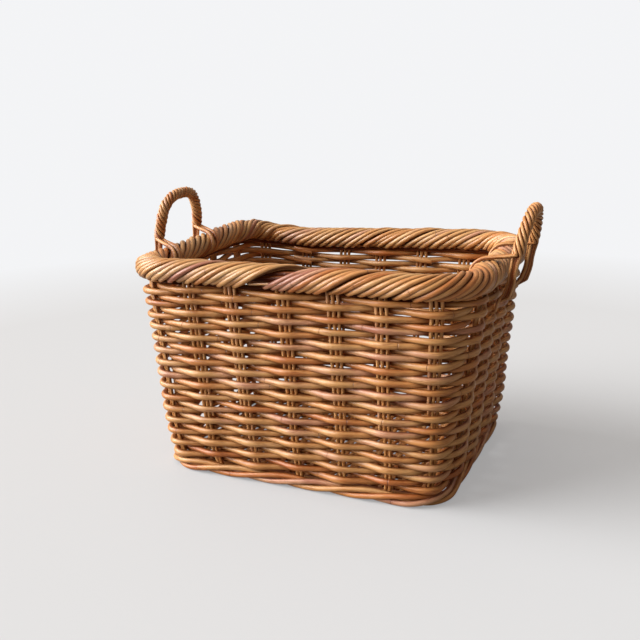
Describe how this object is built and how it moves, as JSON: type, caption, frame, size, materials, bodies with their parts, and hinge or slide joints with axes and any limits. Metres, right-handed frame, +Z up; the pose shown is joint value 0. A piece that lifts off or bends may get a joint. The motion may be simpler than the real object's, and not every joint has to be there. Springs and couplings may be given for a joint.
{
  "type": "woven market basket",
  "caption": "Rectangular open basket of whole rattan rods woven over upright stakes, with a thick rolled rope border and two rope-twisted loop handles on the short sides.",
  "frame": {"origin": "middle of the underside, on the floor plane under the base panel", "axes": "+X along the length, towards the right handle; -Y towards the long front wall; +Z up, towards the open mouth"},
  "size_m": [0.5784, 0.407, 0.3932],
  "materials": {
    "stake_rods": "satin whole rattan, pale tan",
    "weaver_rods": "satin whole rattan, golden tan to pinkish brown from rod to rod",
    "foot_rods": "satin whole rattan, orange brown",
    "base_rods": "satin whole rattan",
    "border_rods": "satin whole rattan, honey brown",
    "handle_rods": "satin rattan strands, honey brown"
  },
  "bodies": {
    "root": {"stake_01": "stake_rods", "stake_02": "stake_rods", "stake_03": "stake_rods", "stake_04": "stake_rods", "stake_05": "stake_rods", "stake_06": "stake_rods", "stake_07": "stake_rods", "stake_08": "stake_rods", "stake_09": "stake_rods", "stake_10": "stake_rods", "stake_11": "stake_rods", "stake_12": "stake_rods", "stake_13": "stake_rods", "stake_14": "stake_rods", "stake_15": "stake_rods", "stake_16": "stake_rods", "stake_17": "stake_rods", "stake_18": "stake_rods", "stake_19": "stake_rods", "stake_20": "stake_rods", "stake_21": "stake_rods", "stake_22": "stake_rods", "weaver_01": "weaver_rods", "weaver_02": "weaver_rods", "weaver_03": "weaver_rods", "weaver_04": "weaver_rods", "weaver_05": "weaver_rods", "weaver_06": "weaver_rods", "weaver_07": "weaver_rods", "weaver_08": "weaver_rods", "weaver_09": "weaver_rods", "weaver_10": "weaver_rods", "weaver_11": "weaver_rods", "weaver_12": "weaver_rods", "weaver_13": "weaver_rods", "weaver_14": "weaver_rods", "weaver_15": "weaver_rods", "weaver_16": "weaver_rods", "weaver_17": "weaver_rods", "weaver_18": "weaver_rods", "weaver_19": "weaver_rods", "weaver_20": "weaver_rods", "weaver_21": "weaver_rods", "weaver_22": "weaver_rods", "weaver_23": "weaver_rods", "weaver_24": "weaver_rods", "weaver_25": "weaver_rods", "weaver_26": "weaver_rods", "weaver_27": "weaver_rods", "weaver_28": "weaver_rods", "weaver_29": "weaver_rods", "weaver_30": "weaver_rods", "foot_wale": "foot_rods", "base_frame": "base_rods", "base_panel": "base_rods", "border_roll": "border_rods", "left_handle_core": "handle_rods", "left_handle_wrap": "handle_rods", "right_handle_core": "handle_rods", "right_handle_wrap": "handle_rods"}
  },
  "joints": []
}
